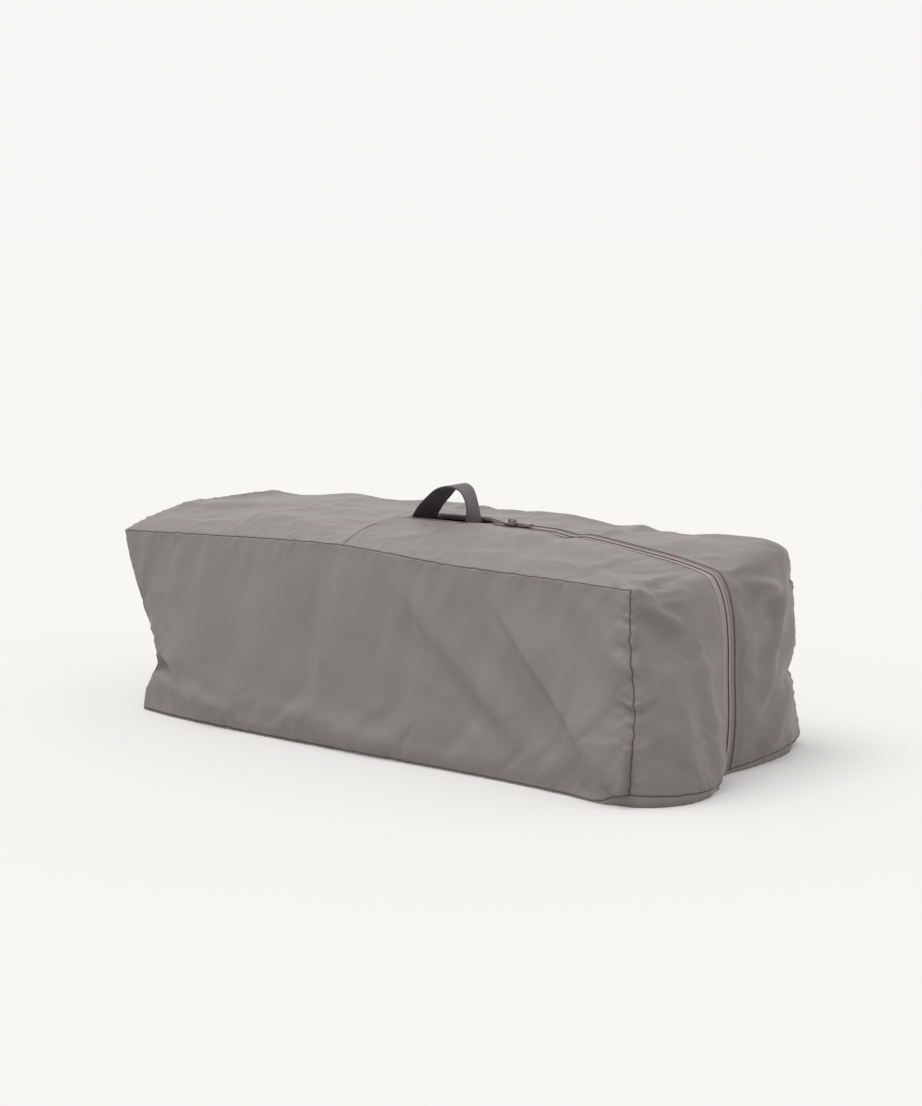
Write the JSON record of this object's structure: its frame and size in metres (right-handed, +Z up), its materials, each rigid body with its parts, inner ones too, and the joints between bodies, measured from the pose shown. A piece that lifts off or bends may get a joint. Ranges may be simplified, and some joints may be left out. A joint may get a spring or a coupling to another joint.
{
  "type": "playpen",
  "caption": "Folding travel playpen packed in its zipped fabric carry bag: folded steel frame with rails, posts and hub wrapped in its mattress, zip that opens along the top, webbing handle.",
  "frame": {"origin": "centre of the bag's footprint on the floor", "axes": "+X along the bag towards the end that the zip goes down, -Y the front, +Z up"},
  "size_m": [0.77, 0.344, 0.287],
  "materials": {
    "grey_cloth": "coated woven polyester, matte",
    "zip_tape": "mauve woven zip tape with a dark nylon coil",
    "zip_metal": "brushed nickel",
    "dark_webbing": "dark woven webbing",
    "mattress_cloth": "quilted light grey cloth",
    "side_wall_cloth": "gathered dark grey cloth and net",
    "steel_tube": "satin dark grey powder coat",
    "dark_plastic": "fine matte",
    "red_button": "satin red",
    "red_webbing": "red woven webbing",
    "wheel_plastic": "matte black"
  },
  "bodies": {
    "root": {"bottom_panel": "grey_cloth", "front_panel": "grey_cloth", "back_panel": "grey_cloth", "left_end_panel": "grey_cloth", "top_left_panel": "grey_cloth", "front_end_gusset": "grey_cloth", "rear_end_gusset": "grey_cloth", "front_end_zip_tape": "zip_tape", "rear_end_zip_tape": "zip_tape", "handle_base": "dark_webbing", "wrap_strap_left": "dark_webbing", "wrap_strap_right": "dark_webbing", "mattress_panel_top": "mattress_cloth", "mattress_panel_front": "mattress_cloth", "mattress_panel_bottom": "mattress_cloth", "mattress_panel_rear": "mattress_cloth", "folded_side_walls": "side_wall_cloth", "corner_post_front_lower": "steel_tube", "corner_post_front_upper": "steel_tube", "corner_post_rear_lower": "steel_tube", "corner_post_rear_upper": "steel_tube", "long_half_rail_front_lower": "steel_tube", "long_half_rail_front_upper": "steel_tube", "long_half_rail_rear_lower": "steel_tube", "long_half_rail_rear_upper": "steel_tube", "short_half_rail_front_lower": "steel_tube", "short_half_rail_front_upper": "steel_tube", "short_half_rail_rear_lower": "steel_tube", "short_half_rail_rear_upper": "steel_tube", "floor_tube_front_lower": "steel_tube", "floor_tube_front_upper": "steel_tube", "floor_tube_rear_lower": "steel_tube", "floor_tube_rear_upper": "steel_tube", "corner_cap_front_lower": "dark_plastic", "corner_cap_front_upper": "dark_plastic", "corner_cap_rear_lower": "dark_plastic", "corner_cap_rear_upper": "dark_plastic", "foot_front_lower": "dark_plastic", "foot_front_upper": "dark_plastic", "foot_rear_lower": "dark_plastic", "foot_rear_upper": "dark_plastic", "rail_latch_long_upper": "dark_plastic", "rail_latch_long_lower": "dark_plastic", "rail_latch_short_front": "dark_plastic", "rail_latch_short_rear": "dark_plastic", "floor_hub": "dark_plastic", "hub_pull_loop": "red_webbing"},
    "front_flap": {"front_zip_flap": "grey_cloth", "front_top_zip_tape": "zip_tape"},
    "rear_flap": {"rear_zip_flap": "grey_cloth", "rear_top_zip_tape": "zip_tape"},
    "slider": {"zip_slider": "zip_metal"},
    "tab": {"pull_tab": "zip_metal"},
    "handle": {"carry_handle": "dark_webbing"},
    "wheel_lower": {"castor_wheel_rear_lower": "wheel_plastic"},
    "wheel_upper": {"castor_wheel_rear_upper": "wheel_plastic"},
    "button_long_upper": {"latch_button_long_upper": "red_button"},
    "button_long_lower": {"latch_button_long_lower": "red_button"},
    "button_short_front": {"latch_button_short_front": "red_button"},
    "button_short_rear": {"latch_button_short_rear": "red_button"}
  },
  "joints": [
    {"name": "front_flap_open", "type": "hinge", "parent": "root", "child": "front_flap", "pos_m": [0, -0.172, 0.218], "axis": [1, 0, 0], "range_deg": [0, 75]},
    {"name": "rear_flap_open", "type": "hinge", "parent": "root", "child": "rear_flap", "pos_m": [0, 0.172, 0.218], "axis": [1, 0, 0], "range_deg": [-75, 0]},
    {"name": "zip_slide", "type": "slide", "parent": "root", "child": "slider", "axis": [0.9978, 0, -0.0665], "range_m": [0, 0.177]},
    {"name": "pull_tab_swing", "type": "hinge", "parent": "slider", "child": "tab", "pos_m": [0.08572, 0, 0.25119], "axis": [0, -1, 0], "range_deg": [0, 160]},
    {"name": "carry_handle_sway", "type": "hinge", "parent": "root", "child": "handle", "pos_m": [-0.0155, 0, 0.246], "axis": [1, 0, 0], "range_deg": [-12, 12], "stiffness_Nm_per_rad": 0.08},
    {"name": "castor_wheel_lower_spin", "type": "hinge", "parent": "root", "child": "wheel_lower", "pos_m": [0.321, 0.071, 0.06575], "axis": [0, 0, 1], "continuous": true},
    {"name": "castor_wheel_upper_spin", "type": "hinge", "parent": "root", "child": "wheel_upper", "pos_m": [0.321, 0.071, 0.16625], "axis": [0, 0, 1], "continuous": true},
    {"name": "latch_button_long_upper_press", "type": "slide", "parent": "root", "child": "button_long_upper", "axis": [0, 0, -1], "range_m": [0, 0.003], "stiffness_N_per_m": 300},
    {"name": "latch_button_long_lower_press", "type": "slide", "parent": "root", "child": "button_long_lower", "axis": [0, 0, 1], "range_m": [0, 0.003], "stiffness_N_per_m": 300},
    {"name": "latch_button_short_front_press", "type": "slide", "parent": "root", "child": "button_short_front", "axis": [0, 1, 0], "range_m": [0, 0.003], "stiffness_N_per_m": 300},
    {"name": "latch_button_short_rear_press", "type": "slide", "parent": "root", "child": "button_short_rear", "axis": [0, -1, 0], "range_m": [0, 0.003], "stiffness_N_per_m": 300}
  ],
  "couplings": [
    {"joint": "rear_flap_open", "follows": "front_flap_open", "ratio": -1},
    {"joint": "zip_slide", "follows": "front_flap_open", "m_per_rad": 0.135}
  ]
}
